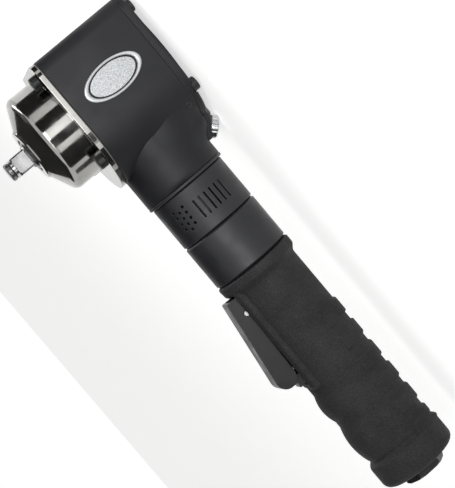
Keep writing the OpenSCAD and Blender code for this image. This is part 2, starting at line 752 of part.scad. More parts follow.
// Outer profile of the grip's revolved body, front flange to rear flare
module grip_profile() {
    flare_x = grip_len - flare_len;
    polygon(concat(
        [[core_r + seat_fit, 0], [grip_flange_r - 0.8, 0], [grip_flange_r, 0.8],
         [grip_flange_r, grip_flange_len - 0.8], [grip_flange_r - 0.5, grip_flange_len],
         [grip_r, grip_flange_len + grip_taper], [grip_r, flare_x - 4.5],
         [grip_flare_r - 0.7, flare_x - 0.8], [grip_flare_r, flare_x]],
        [for (a = [0:15:90]) [
            grip_flare_r - 4 + 4 * cos(a), grip_len - 4 + 4 * sin(a)
        ]],
        [[core_r + seat_fit, grip_len]]
    ));
}

module grip() seated() color("#2b2b2e") difference() {
    union() {
        along_x(grip_x) rotate_extrude($fn = 96) grip_profile();
        for (i = [0:pad_count - 1]) along_x(first_pad_x + i * pad_pitch) rotate([0, 0, -wrap])
            rotate_extrude(angle = 2 * wrap) polygon([
                [core_r + 1, 0], [grip_r + pad_rise - 0.4, 0], [grip_r + pad_rise, 0.4],
                [grip_r + pad_rise, pad_len - 0.4], [grip_r + pad_rise - 0.4, pad_len], [core_r + 1, pad_len]
            ]);
        finger_swell(184, 16);
        finger_swell(206, 21);
        lever_rim();
    }
    along_x(grip_x - over) cylinder(r = core_r + seat_fit, h = grip_len + 2 * over);
    translate([lever_x - 1.2, -window_half_w, 8]) cube([window_end - lever_x + 1.2, 2 * window_half_w, 40]);
}

// One swell under a finger, long along the handle, round across it
module finger_swell(x, len) {
    rise = pad_rise + 0.5;
    swell = (len * len / 4 + rise * rise) / (2 * rise);
    intersection() {
        translate([x, 0, grip_r + rise - swell]) rotate([90, 0, 0])
            cylinder(r = swell, h = 2 * core_r, center = true);
        along_x(x - len) cylinder(r = grip_r + rise, h = 2 * len);
        translate([x - len, -core_r, core_r * 0.5]) cube([2 * len, 2 * core_r, core_r]);
    }
}

// Raised rim round the lever's bay, flat on its open side
module lever_rim() intersection() {
    translate([lever_x - 4, -window_half_w - 3, 8]) cube([window_end - lever_x + 7, 2 * window_half_w + 6, 10.6]);
    along_x(grip_x) cylinder(r = grip_r + 1.9, h = grip_len);
}

// ---- Throttle ----

// Side view of the lever in X and Z: thin behind the pivot, deep at its round free end
module lever_side() {
    corner = 0.6;
    hull() {
        translate([lever_x + corner, lever_edge_z + corner]) circle(corner, $fn = 24);
        translate([lever_x + corner, lever_back_z - corner]) circle(corner, $fn = 24);
        translate([lever_end_x - corner, lever_edge_z + 4.4]) circle(corner, $fn = 24);
        translate([plunger_x - 4, lever_edge_z + 2]) circle(corner, $fn = 24);
        translate([lever_end_x - lever_end_r, lever_floor(lever_end_x - lever_end_r - 1) + lever_t - lever_end_r])
            circle(lever_end_r, $fn = 64);
    }
    translate([pivot_x, pivot_z]) circle(lever_pin_r + 2);
}

// Extrudes a side view in X and Z to a width centred on the handle
module across(w) translate([0, w / 2, 0]) rotate([90, 0, 0]) linear_extrude(w) children();

module throttle_lever() seated() color("#1d1d1f") difference() {
    across(lever_w) lever_side();
    across(lever_w - 2 * lever_t) polygon([
        [lever_x - over, 0], [lever_end_x + over, 0],
        [lever_end_x + over, lever_floor(plunger_x + 3)], [plunger_x + 3, lever_floor(plunger_x + 3)],
        [lever_x - over, lever_floor(lever_x - over)]
    ]);
    translate([pivot_x, 0, pivot_z]) rotate([90, 0, 0])
        cylinder(r = lever_pin_r + running_fit, h = 2 * lever_w, center = true);
}

module lever_pin() seated() color("#c9cbce")
    translate([pivot_x, lever_w / 2, pivot_z]) rotate([90, 0, 0]) chamfered(lever_pin_r, lever_w, 0.2);

module throttle_plunger() seated() color("#d0d2d4") translate([plunger_x, 0, 0])
    rotate_extrude() polygon(concat(
        [[0, spool_bottom], [spool_r, spool_bottom], [spool_r, channel_r - 1.2],
         [spool_r - 1.4, channel_r - 0.6], [spool_r - 1.4, channel_r + 4],
         [spool_r, channel_r + 4.6], [spool_r, spool_top], [stem_r, spool_top]],
        [for (a = [0:15:90]) [stem_r * cos(a), plunger_top - stem_r * 0.5 + stem_r * 0.5 * sin(a)]]
    ));

module valve_bushing() seated() color("#a98a4c") translate([plunger_x, 0, 0]) difference() {
    translate([0, 0, bushing_bottom]) cylinder(r = bushing_r, h = bushing_top - bushing_bottom);
    translate([0, 0, bushing_bottom - over])
        cylinder(r = spool_r + running_fit, h = spool_top + 0.3 - bushing_bottom + over);
    cylinder(r = stem_r + running_fit, h = bushing_top + over);
    rotate([0, 90, 0]) cylinder(r = channel_r - 1.5, h = 4 * bushing_r, center = true);
}

// Ring of points round a helix, and the closed tube through all the rings
function coil_ring(turn, r, wire, pitch, sides) = [for (j = [0:sides - 1])
    let (a = j * 360 / sides, reach = r + wire * cos(a))
        [reach * cos(turn), reach * sin(turn), pitch * turn / 360 + wire * sin(a)]];

module coil(r, wire, turns, height, sides = 8, steps = 20) {
    rings = turns * steps;
    pitch = (height - 2 * wire) / turns;
    points = [for (i = [0:rings]) each coil_ring(i * 360 / steps, r, wire, pitch, sides)];
    walls = [for (i = [0:rings - 1], j = [0:sides - 1]) let (k = (j + 1) % sides)
        [i * sides + j, i * sides + k, (i + 1) * sides + k, (i + 1) * sides + j]];
    caps = [[for (j = [sides - 1:-1:0]) j], [for (j = [0:sides - 1]) rings * sides + j]];
    translate([0, 0, wire]) polyhedron(points, concat(walls, caps), convexity = 8);
}

module valve_spring() seated() color("#bfc1c3")
    translate([plunger_x, 0, bushing_bottom + 0.05])
        coil(spool_r - 0.9, spring_wire / 2, 5, spool_bottom - bushing_bottom - 0.1);

// ---- Air inlet ----

module inlet_bushing() seated() color("#141416") difference() {
    union() {
        along_x(inlet_seat) cylinder(r = inlet_shank_r, h = inlet_end - inlet_seat);
        along_x(grip_end) intersection() {
            cylinder(r = inlet_hex / sqrt(3), h = inlet_head, $fn = 6);
            chamfered(inlet_hex / sqrt(3) - 0.2, inlet_head, 0.9);
        }
    }
    along_x(inlet_end - inlet_thread) cylinder(r = inlet_bore_r, h = inlet_thread + over);
    along_x(inlet_seat - over) cylinder(r = channel_r, h = 30);
}

module inlet_screen() seated() color("#b9bbbd") along_x(inlet_seat - screen_t) difference() {
    cylinder(r = inlet_shank_r, h = screen_t);
    for (i = [0:5]) rotate(i * 60) translate([2.4, 0, -over]) cylinder(r = 0.9, h = screen_t + 2 * over);
    translate([0, 0, -over]) cylinder(r = 0.9, h = screen_t + 2 * over);
}

// ---- Pieces ----
head_housing();
rear_cover();
rear_gasket();
rear_cover_screws();
oil_plug();
name_plate();
front_gasket();
hammer_case();
hammer_case_screws();
nose_bushing();
nose_seal();
motor_cylinder();
rear_end_plate();
front_end_plate();
bearing_outer_races();
bearing_balls();
bearing_inner_races();
rotor();
rotor_vanes();
hammer_cage();
hammer_pins();
hammer_a();
hammer_b();
anvil();
friction_ring();
retainer_o_ring();
selector_knob();
selector_spool();
selector_bushing();
neck_lip_ring();
exhaust_collar();
collar_o_rings();
coupling_sleeve();
handle_core();
air_tube();
grip();
throttle_lever();
lever_pin();
throttle_plunger();
valve_bushing();
valve_spring();
inlet_bushing();
inlet_screen();
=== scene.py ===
from math import radians

import bpy
import numpy as np
from mathutils import Matrix, Vector


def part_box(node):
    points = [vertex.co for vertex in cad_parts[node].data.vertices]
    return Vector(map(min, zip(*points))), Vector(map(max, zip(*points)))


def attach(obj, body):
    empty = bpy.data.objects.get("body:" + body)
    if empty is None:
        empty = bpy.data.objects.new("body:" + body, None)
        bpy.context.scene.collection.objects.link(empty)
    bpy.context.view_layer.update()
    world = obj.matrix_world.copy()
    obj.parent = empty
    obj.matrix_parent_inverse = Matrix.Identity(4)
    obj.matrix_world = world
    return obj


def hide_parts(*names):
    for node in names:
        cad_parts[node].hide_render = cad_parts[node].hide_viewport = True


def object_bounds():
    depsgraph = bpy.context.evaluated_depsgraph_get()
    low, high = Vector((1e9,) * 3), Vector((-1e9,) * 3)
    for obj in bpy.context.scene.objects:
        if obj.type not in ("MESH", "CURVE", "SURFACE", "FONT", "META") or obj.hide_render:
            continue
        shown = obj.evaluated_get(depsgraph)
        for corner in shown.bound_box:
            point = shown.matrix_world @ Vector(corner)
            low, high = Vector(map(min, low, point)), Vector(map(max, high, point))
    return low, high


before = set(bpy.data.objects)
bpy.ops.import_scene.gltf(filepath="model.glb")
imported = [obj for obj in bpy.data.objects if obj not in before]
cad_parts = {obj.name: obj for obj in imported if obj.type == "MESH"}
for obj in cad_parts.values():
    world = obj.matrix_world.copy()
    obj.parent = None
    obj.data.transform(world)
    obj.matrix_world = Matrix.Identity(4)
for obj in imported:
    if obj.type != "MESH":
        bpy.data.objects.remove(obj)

cad_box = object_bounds()
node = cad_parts

# ---------------------------------------------------------------- Studio
# The wrench lies on its rear cover on a pale table top, with the anvil up.
# Two soft boxes and a pale room light it. One dark flag overhead and four upright
# ones show in reflections alone, so that polished steel has dark bands as well.
floor_z = cad_box[0][2]


class Finish:
    """A material on Object coordinates, with short words for the usual node groups."""

    def __init__(self, name, colour, rough, metal=0.0, **more):
        self.mat = bpy.data.materials.new(name)
        self.mat.use_nodes = True
        self.tree = self.mat.node_tree
        self.shader = self.tree.nodes["Principled BSDF"]
        self.shader.inputs["Base Color"].default_value = (*colour, 1)
        self.shader.inputs["Roughness"].default_value = rough
        self.shader.inputs["Metallic"].default_value = metal
        for word, value in more.items():
            self.shader.inputs[word.replace("_", " ")].default_value = value
        self.where = self.add("ShaderNodeTexCoord").outputs["Object"]
        self.normal = None

    def add(self, kind, **settings):
        made = self.tree.nodes.new(kind)
        for word, value in settings.items():
            setattr(made, word, value)
        return made

    def join(self, source, target):
        self.tree.links.new(source, target)

    def place(self, scale, centre=(0, 0, 0)):
        """Object coordinates moved to a centre and scaled per axis."""
        back = self.add("ShaderNodeVectorMath", operation="SUBTRACT")
        self.join(self.where, back.inputs[0])
        back.inputs[1].default_value = centre
        mapping = self.add("ShaderNodeMapping")
        self.join(back.outputs[0], mapping.inputs["Vector"])
        mapping.inputs["Scale"].default_value = scale
        return mapping.outputs[0]

    def noise(self, per_metre, detail=3.0, rough=0.55, at=None):
        made = self.add("ShaderNodeTexNoise")
        self.join(at or self.where, made.inputs["Vector"])
        made.inputs["Scale"].default_value = per_metre
        made.inputs["Detail"].default_value = detail
        made.inputs["Roughness"].default_value = rough
        return made.outputs["Fac"]

    def cells(self, per_metre, feature="F1", smooth=0.6, at=None):
        made = self.add("ShaderNodeTexVoronoi", feature=feature)
        self.join(at or self.where, made.inputs["Vector"])
        made.inputs["Scale"].default_value = per_metre
        if feature == "SMOOTH_F1":
            made.inputs["Smoothness"].default_value = smooth
        return made.outputs["Distance"]

    def spread(self, value, low, high, to_low=0.0, to_high=1.0):
        made = self.add("ShaderNodeMapRange", interpolation_type="SMOOTHSTEP")
        self.join(value, made.inputs["Value"])
        for word, number in (("From Min", low), ("From Max", high), ("To Min", to_low), ("To Max", to_high)):
            made.inputs[word].default_value = number
        return made.outputs["Result"]

    def maths(self, operation, a, b):
        made = self.add("ShaderNodeMath", operation=operation)
        for place, value in zip(made.inputs, (a, b)):
            if isinstance(value, (int, float)):
                place.default_value = value
            else:
                self.join(value, place)
        return made.outputs[0]

    def edges(self, radius, low=0.02, high=0.25):
        """1 on a worn edge, from how far a rounded normal leans from the true one."""
        round_ = self.add("ShaderNodeBevel", samples=6)
        round_.inputs["Radius"].default_value = radius
        dot = self.add("ShaderNodeVectorMath", operation="DOT_PRODUCT")
        self.join(round_.outputs[0], dot.inputs[0])
        self.join(self.add("ShaderNodeNewGeometry").outputs["Normal"], dot.inputs[1])
        lean = self.maths("SUBTRACT", 1.0, dot.outputs["Value"])
        return self.spread(lean, low, high)

    def soften(self, radius):
        """Small rounded edges, as a normal that later bumps start from."""
        round_ = self.add("ShaderNodeBevel", samples=6)
        round_.inputs["Radius"].default_value = radius
        self.normal = round_.outputs[0]
        self.join(self.normal, self.shader.inputs["Normal"])
        return self

    def bump(self, height, depth, strength=1.0):
        made = self.add("ShaderNodeBump")
        made.inputs["Strength"].default_value = strength
        made.inputs["Distance"].default_value = depth
        self.join(height, made.inputs["Height"])
        if self.normal is not None:
            self.join(self.normal, made.inputs["Normal"])
        self.normal = made.outputs[0]
        self.join(self.normal, self.shader.inputs["Normal"])
        return self

    def tint(self, mask, first, second):
        """Base colour from one tone to another by a mask; an earlier tint is kept under it."""
        mix = self.add("ShaderNodeMix", data_type="RGBA")
        self.join(mask, mix.inputs["Factor"])
        slot_in = self.shader.inputs["Base Color"]
        if first is None and slot_in.links:
            self.join(slot_in.links[0].from_socket, mix.inputs["A"])
        else:
            mix.inputs["A"].default_value = (*(first or slot_in.default_value[:3]), 1)
        mix.inputs["B"].default_value = (*second, 1)
        self.join(mix.outputs["Result"], slot_in)
        return self

    def vary(self, word, mask, low, high):
        self.join(self.spread(mask, 0.3, 0.7, low, high), self.shader.inputs[word])
        return self


def dress(finish, *names):
    for name in names:
        mesh = node[name].data
        if not mesh.materials:
            mesh.materials.append(finish.mat)
        for place in range(len(mesh.materials)):
            mesh.materials[place] = finish.mat


def skin(name, points, finish, body, stands_for=(), wrap_u=False, wrap_v=False, keep=None):
    """A grid of points (rows u, columns v) as one mesh; wrap joins its last row or column to the first."""
    rows, cols = points.shape[:2]
    u = np.arange(rows if wrap_u else rows - 1)
    v = np.arange(cols if wrap_v else cols - 1)
    uu, vv = np.meshgrid(u, v, indexing="ij")
    nu, nv = (uu + 1) % rows, (vv + 1) % cols
    quads = np.stack([uu * cols + vv, uu * cols + nv, nu * cols + nv, nu * cols + vv], -1).reshape(-1, 4)
    if keep is not None:
        quads = quads[keep[uu, vv].reshape(-1)]
    used, quads = np.unique(quads, return_inverse=True)
    quads = quads.reshape(-1, 4)
    mesh = bpy.data.meshes.new(name)
    mesh.vertices.add(len(used))
    mesh.vertices.foreach_set("co", points.reshape(-1, 3)[used].astype(np.float32).ravel())
    mesh.loops.add(quads.size)
    mesh.loops.foreach_set("vertex_index", quads.astype(np.int32).ravel())
    mesh.polygons.add(len(quads))
    mesh.polygons.foreach_set("loop_start", np.arange(0, quads.size, 4, dtype=np.int32))
    mesh.polygons.foreach_set("use_smooth", np.full(len(quads), True))
    mesh.update(calc_edges=True)
    mesh.validate()
    mesh.materials.append(finish.mat)
    made = bpy.data.objects.new(name, mesh)
    bpy.context.scene.collection.objects.link(made)
    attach(made, body)
    if stands_for:
        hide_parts(*stands_for)
    return made


table_top = Finish("pale_table_top", (0.82, 0.82, 0.81), 0.9)
table_top.vary("Roughness", table_top.noise(40), 0.85, 0.95)
glow = table_top.add("ShaderNodeLightPath")
seen = table_top.maths("MAXIMUM", glow.outputs["Is Camera Ray"], glow.outputs["Is Glossy Ray"])
seen = table_top.maths("MAXIMUM", seen, glow.outputs["Is Transmission Ray"])
table_top.shader.inputs["Emission Color"].default_value = (1, 1, 1, 1)
table_top.join(table_top.maths("MULTIPLY", seen, 0.62), table_top.shader.inputs["Emission Strength"])
top = bpy.data.meshes.new("table_top")
reach_out = 3
top_corners = [(x * reach_out, y * reach_out, floor_z) for x, y in ((-1, -1), (1, -1), (1, 1), (-1, 1))]
top.from_pydata(top_corners, [], [(0, 1, 2, 3)])
top.materials.append(table_top.mat)
table = bpy.data.objects.new("table_top", top)
bpy.context.scene.collection.objects.link(table)

room = bpy.data.worlds.new("pale_room")
room.use_nodes = True
bpy.context.scene.world = room
sky = room.node_tree.nodes["Background"]
path = room.node_tree.nodes.new("ShaderNodeLightPath")
sees = path.outputs["Is Camera Ray"]
for word in ("Is Glossy Ray", "Is Transmission Ray"):
    larger = room.node_tree.nodes.new("ShaderNodeMath")
    larger.operation = "MAXIMUM"
    room.node_tree.links.new(sees, larger.inputs[0])
    room.node_tree.links.new(path.outputs[word], larger.inputs[1])
    sees = larger.outputs[0]
level = room.node_tree.nodes.new("ShaderNodeMapRange")
level.inputs["To Min"].default_value = 0.22
level.inputs["To Max"].default_value = 1.0
room.node_tree.links.new(sees, level.inputs["Value"])
room.node_tree.links.new(level.outputs["Result"], sky.inputs["Strength"])
sky.inputs["Color"].default_value = (1, 1, 1, 1)


def soft_box(name, place, aim, width, height, watts):
    lamp = bpy.data.lights.new(name, "AREA")
    lamp.shape, lamp.size, lamp.size_y, lamp.energy = "RECTANGLE", width, height, watts
    made = bpy.data.objects.new(name, lamp)
    made.location = place
    made.rotation_euler = (Vector(aim) - Vector(place)).to_track_quat("-Z", "Y").to_euler()
    bpy.context.scene.collection.objects.link(made)


soft_box("key_soft_box", (0.02, 0.75, 0.16), (0.08, 0, -0.05), 0.55, 0.45, 4.2)
soft_box("far_soft_box", (-0.55, -0.25, 0.45), (0.05, 0, -0.05), 0.5, 0.5, 3)

flag_black = Finish("flag_cloth", (0.05, 0.05, 0.048), 0.95)
flag_black.vary("Roughness", flag_black.noise(60), 0.9, 1.0)


def hang_flag(name, corners):
    """A black cloth with four corners, taken in order, that shows in reflections alone."""
    cloth = bpy.data.meshes.new(name)
    cloth.from_pydata([tuple(corner) for corner in corners], [], [(0, 1, 2, 3)])
    cloth.materials.append(flag_black.mat)
    flag = bpy.data.objects.new(name, cloth)
    bpy.context.scene.collection.objects.link(flag)
    flag.visible_camera = flag.visible_diffuse = flag.visible_shadow = False


roof_z, flag_half_height = 0.34, 0.10
roof_plan = ((-0.5, -0.60), (0.45, -0.60), (0.45, 0.10), (-0.5, 0.10))
hang_flag("roof_flag", [(x, y, roof_z) for x, y in roof_plan])
# Place in x and y of each upright flag, and half its width; each faces the head's axis.
uprights = ((-0.115, 0.21, 0.055), (0.055, 0.26, 0.045), (-0.22, 0.02, 0.10), (0.20, 0.14, 0.09))
for number, (x, y, half_width) in enumerate(uprights):
    across = Vector((y, -x, 0)).normalized() * half_width
    foot, top_edge = Vector((x, y, -flag_half_height)), Vector((x, y, flag_half_height))
    hang_flag(f"flag_{number + 1}", [foot - across, foot + across, top_edge + across, top_edge - across])

# The camera looks at the name plate's side, rolled so that the handle runs down to the right.
image_width, focal = 455, 2000.4
eye = Vector((0.0217, 0.9442, 0.0927))
ahead = Vector((0.07398, -0.98661, -0.14538)).normalized()
right = Vector((0.64237, 0.15865, -0.74979))
right = (right - ahead * right.dot(ahead)).normalized()
down = ahead.cross(right)
camera = bpy.data.cameras.new("camera")
camera.sensor_fit = "HORIZONTAL"
camera.sensor_width = 36
camera.lens = camera.sensor_width * focal / image_width
camera.clip_start = 0.01
camera.clip_end = 20
viewer = bpy.data.objects.new("camera", camera)
viewer.matrix_world = Matrix((right, -down, -ahead)).transposed().to_4x4()
viewer.location = eye
bpy.context.scene.collection.objects.link(viewer)
bpy.context.scene.camera = viewer
bpy.context.scene.view_settings.view_transform = "Standard"

# ---------------------------------------------------------------- Head and rear cover
# Die-cast aluminium, shot blasted and painted satin black with a faint blue cast.
# The cover closes the head behind the motor and carries the selector's boss.
casting = Finish("satin_black_casting", (0.010, 0.0102, 0.0125), 0.46, Specular_IOR_Level=0.32)
casting.soften(0.0006)
casting.bump(casting.noise(1500, 2), 0.00003, 0.5)
casting.bump(casting.noise(220, 3), 0.00005, 0.35)
cast_tone = casting.spread(casting.noise(35, 4), 0.35, 0.7)
casting.tint(cast_tone, (0.0070, 0.0071, 0.0092), (0.0105, 0.0106, 0.0132))
chipped = casting.spread(casting.noise(450, 4), 0.62, 0.72)
casting.tint(casting.maths("MULTIPLY", casting.edges(0.0007), chipped), None, (0.10, 0.10, 0.105))
casting.vary("Roughness", casting.noise(60, 3), 0.42, 0.55)
dress(casting, "rear_cover")
axis_z = -0.0499
head_rear, head_front = axis_z - 0.025, axis_z + 0.022
lobe_x, side_y, corner_x, corner_r = 0.010, 0.0295, -0.0235, 0.0075
neck_r, neck_end = 0.02175, 0.056
# Plan of the head: half a turn round the lobe, then a quarter turn round each corner.
lobe_steps, corner_steps = 97, 25
turns = np.concatenate([np.linspace(-90, 90, lobe_steps), np.linspace(90, 180, corner_steps),
                        np.linspace(180, 270, corner_steps)])
part = np.repeat([0, 1, 2], [lobe_steps, corner_steps, corner_steps])
out_x, out_y = np.cos(np.radians(turns)), np.sin(np.radians(turns))
plan_r = np.where(part == 0, side_y, corner_r)
plan_x = np.where(part == 0, lobe_x, corner_x) + plan_r * out_x
plan_y = np.choose(part, [0, side_y - corner_r, corner_r - side_y]) + plan_r * out_y
# Side of the head from rear to front: each rim rolls in by a small radius, the ends close flat.
roll = 0.0005
quarter = np.radians(np.linspace(90, 0, 6))
rolled = roll * (1 - np.cos(quarter))
inset = np.concatenate([[roll] * 3, rolled, rolled[::-1], [roll] * 3])
height = np.concatenate([[head_rear] * 3, head_rear + roll * (1 - np.sin(quarter)),
                         head_front - roll * (1 - np.sin(quarter[::-1])), [head_front] * 3])
shrink = np.concatenate([[0.001, 0.5, 0.98], np.ones(12), [0.98, 0.5, 0.001]])
block = np.stack([
    shrink[:, None] * (plan_x - inset[:, None] * out_x),
    shrink[:, None] * (plan_y - inset[:, None] * out_y),
    height[:, None] + 0 * plan_x], -1)[:, ::-1]
head = skin("cast_head", block, casting, "housing", ("head_housing",), wrap_v=True)
# Neck: radius r plus a flare that starts at 49 mm and grows as the square of the way back to
# the head, by 14 mm behind and none in front, with a land under the selector's boss; behind,
# it stops at the joint face.
way = np.concatenate([np.linspace(0.026, 0.052, 53), [neck_end - 0.0003, neck_end]])
lap = np.linspace(0, 2 * np.pi, 240, endpoint=False)
behind = np.clip(-np.cos(lap), 0, 1) ** 1.5
flare = 0.014 * behind * (np.clip(0.049 - way, 0, 1)[:, None] / 0.020) ** 2
under_boss = np.exp(-(np.arccos(np.clip(-np.cos(lap), -1, 1)) / radians(33)) ** 4)
flare += 0.0048 * under_boss * np.clip((0.0495 - way) / 0.0095, 0, 1)[:, None]
reach_r = neck_r + flare - np.where(way > neck_end - 0.0001, 0.0003, 0)[:, None]
neck_skin = np.stack([way[:, None] + 0 * lap, reach_r * np.sin(lap),
                      np.maximum(axis_z + reach_r * np.cos(lap), head_rear + 0.0002)], -1)
ends = [np.stack([x + 0 * lap, 0.001 * neck_r * np.sin(lap), axis_z + 0.001 * neck_r * np.cos(lap)], -1)
        for x in (way[0], way[-1])]
neck_skin = np.concatenate([ends[0][None], neck_skin, ends[1][None]])
neck = skin("cast_neck", neck_skin, casting, "housing", wrap_v=True)

# ---------------------------------------------------------------- Joint gaskets and soft seals
# Pressed fibre gaskets at both joints of the head.
# Nitrile O-rings and a lip seal, moulded and pushed into their grooves.
fibre = Finish("gasket_fibre", (0.045, 0.042, 0.038), 0.85)
fibre.tint(fibre.noise(900, 4), (0.035, 0.033, 0.030), (0.060, 0.056, 0.050))
fibre.bump(fibre.noise(1500, 2), 0.00004, 0.6)
dress(fibre, "rear_gasket", "front_gasket")
nitrile = Finish("nitrile_rubber", (0.012, 0.012, 0.012), 0.6)
nitrile.bump(nitrile.noise(800, 2), 0.00002, 0.4)
nitrile.tint(nitrile.noise(120), (0.010, 0.010, 0.010), (0.018, 0.018, 0.018))
dress(nitrile, "nose_seal", "retainer_o_ring", "collar_o_rings")

# ---------------------------------------------------------------- Head screws and oil plug
# Hex socket screws in black oxide, four at each end of the head.
# The oil filler's plug and the air inlet's bushing are the same steel.
oxide = Finish("black_oxide_steel", (0.016, 0.016, 0.017), 0.32, 0.3)
oxide.soften(0.0003)
oxide.tint(oxide.edges(0.0004, 0.05, 0.4), None, (0.16, 0.16, 0.165))
oxide.vary("Roughness", oxide.noise(500, 3), 0.28, 0.44)
oxide.bump(oxide.noise(1800, 2), 0.00002, 0.4)
dress(oxide, "rear_cover_screws", "hammer_case_screws", "inlet_bushing")
# Oil plug: a low dome, its height falling off as the square of the way out, on the lobe's flank.
plug_turn, plug_r = radians(48), 0.0017
plug_out = np.array([np.cos(plug_turn), np.sin(plug_turn), 0.0])
plug_side = np.array([-np.sin(plug_turn), np.cos(plug_turn), 0.0])
plug_mid = np.array([lobe_x, 0, head_rear + 0.0034]) + side_y * plug_out
plug_share = np.array([0.001, 0.42, 0.5, 0.6, 0.8, 0.92, 1.0, 1.0, 0.001])
plug_lift = np.array([-0.0002, -0.0002, 0.0002, 0.00025, 0.0002, 0.0001, -0.0001, -0.002, -0.002])
plug_lap = np.linspace(0, 2 * np.pi, 48, endpoint=False)
plug_skin = (plug_mid + plug_lift[:, None, None] * plug_out
             + plug_r * plug_share[:, None, None] * (np.cos(plug_lap)[:, None] * plug_side
                                                     + np.sin(plug_lap)[:, None] * np.array([0, 0, 1.0])))
plug = skin("oil_filler_plug", plug_skin, oxide, "housing", ("oil_plug",), wrap_v=True)

# ---------------------------------------------------------------- Name plate
# Pressed aluminium oval on the head's flank.
# It has a polished rim, a thin dark line and a sparkling silver field.
plate_low, plate_high = (Vector(c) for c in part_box("name_plate"))
plate_mid, plate_half = (plate_low + plate_high) / 2, (plate_high - plate_low) / 2
plate = Finish("sparkle_silver_plate", (0.55, 0.56, 0.57), 0.36, 0.6)
oval = plate.add("ShaderNodeVectorMath", operation="LENGTH")
plate.join(plate.place((1 / plate_half.x, 0, 1 / plate_half.z), plate_mid), oval.inputs[0])
reach = oval.outputs["Value"]
plate.tint(plate.spread(plate.cells(2600), 0.1, 0.75), (0.62, 0.63, 0.65), (0.30, 0.31, 0.32))
plate.tint(plate.spread(reach, 0.875, 0.885), None, (0.50, 0.51, 0.52))
line = plate.maths("MULTIPLY", plate.spread(reach, 0.775, 0.79), plate.spread(reach, 0.845, 0.86, 1.0, 0.0))
plate.tint(line, None, (0.012, 0.012, 0.013))
plate.vary("Roughness", plate.noise(500, 2), 0.30, 0.42)
plate.bump(plate.cells(2600), 0.00003, 0.4)
# Height of the pressed face over the oval: a level field, a sunk line, then a domed rim
# that rolls down to the casting; the back closes flat.
share = np.concatenate([np.linspace(0.001, 0.76, 8), np.linspace(0.77, 0.99, 28), [1.0, 1.0, 0.5, 0.001]])
lift = 0.00045 - 0.0002 * np.exp(-((share - 0.82) / 0.02) ** 2) + 0.00035 * np.sqrt(
    np.clip(1 - ((share - 0.93) / 0.068) ** 2, 0, 1))
lift[-4], lift[-3:] = 0.0003, 0.0
lap = np.linspace(0, 2 * np.pi, 128, endpoint=False)
plate_skin = np.stack([
    plate_mid.x + plate_half.x * share[:, None] * np.cos(lap),
    plate_low.y + lift[:, None] + 0 * lap,
    plate_mid.z + plate_half.z * share[:, None] * np.sin(lap)], -1)[:, ::-1]
badge = skin("name_plate_oval", plate_skin, plate, "housing", ("name_plate",), wrap_v=True)

# ---------------------------------------------------------------- Hammer case
# Turned and polished steel in dark chrome.
# Four socket screws hold its flange to the head's front joint.
chrome = Finish("dark_chrome", (0.40, 0.395, 0.38), 0.12, 1.0)
chrome.soften(0.0005)
turned = chrome.place(scale=(25, 25, 2200))
chrome.bump(chrome.noise(1.0, 2, at=turned), 0.000006, 0.5)
chrome.vary("Roughness", chrome.noise(180, 4), 0.07, 0.15)
chrome.tint(chrome.spread(chrome.noise(70, 3), 0.4, 0.7), (0.36, 0.355, 0.34), (0.27, 0.265, 0.255))
dress(chrome, "hammer_case")

# ---------------------------------------------------------------- Anvil and hammer mechanism
# Hardened steel, ground and oiled: the anvil, the rotor, the cage and both hammers.
# The motor cylinder, bearings, pins, knob and small turned pieces are a brighter steel.
drive = Finish("ground_drive_steel", (0.24, 0.24, 0.24), 0.26, 1.0)
drive.soften(0.0003)
drive.tint(drive.spread(drive.noise(160, 5), 0.35, 0.7), (0.17, 0.17, 0.17), (0.30, 0.30, 0.30))
drive.tint(drive.edges(0.0004, 0.05, 0.4), None, (0.62, 0.62, 0.63))
drive.vary("Roughness", drive.noise(300, 4), 0.20, 0.36)
drive.bump(drive.noise(900, 3), 0.00003, 0.35)
dress(drive, "anvil", "hammer_cage", "hammer_a", "hammer_b", "rotor")
bright = Finish("bright_turned_steel", (0.62, 0.63, 0.64), 0.2, 1.0)
bright.soften(0.0003)
bright.vary("Roughness", bright.noise(400, 3), 0.16, 0.28)
bright.bump(bright.noise(1200, 2), 0.00002, 0.3)
bright.tint(bright.spread(bright.noise(90, 3), 0.4, 0.7), (0.66, 0.67, 0.68), (0.52, 0.53, 0.54))
dress(bright, "friction_ring", "hammer_pins", "motor_cylinder", "bearing_outer_races", "bearing_balls",
      "bearing_inner_races", "selector_knob", "selector_spool", "lever_pin", "throttle_plunger",
      "valve_spring", "inlet_screen")

# ---------------------------------------------------------------- Motor plates, bushings and vanes
# Machined aluminium end plates on both sides of the motor.
# Sintered bronze bushings and tube, and vanes cut from phenolic sheet.
machined = Finish("machined_aluminium", (0.52, 0.53, 0.54), 0.35, 1.0)
machined.bump(machined.noise(1.0, 2, at=machined.place(scale=(1600, 1600, 60))), 0.00002, 0.4)
machined.vary("Roughness", machined.noise(200), 0.3, 0.42)
machined.tint(machined.noise(120), (0.48, 0.49, 0.50), (0.58, 0.59, 0.60))
dress(machined, "rear_end_plate", "front_end_plate")
bronze = Finish("sintered_bronze", (0.50, 0.36, 0.17), 0.42, 1.0)
bronze.bump(bronze.cells(2200), 0.00003, 0.4)
bronze.tint(bronze.noise(260, 4), (0.42, 0.29, 0.13), (0.56, 0.42, 0.21))
dress(bronze, "nose_bushing", "selector_bushing", "air_tube", "valve_bushing")
phenolic = Finish("phenolic_sheet", (0.22, 0.13, 0.055), 0.55)
layers = phenolic.noise(1.0, 4, at=phenolic.place(scale=(300, 300, 1500)))
phenolic.tint(layers, (0.17, 0.10, 0.04), (0.27, 0.17, 0.08))
phenolic.bump(phenolic.noise(1200), 0.00003, 0.5)
dress(phenolic, "rotor_vanes")

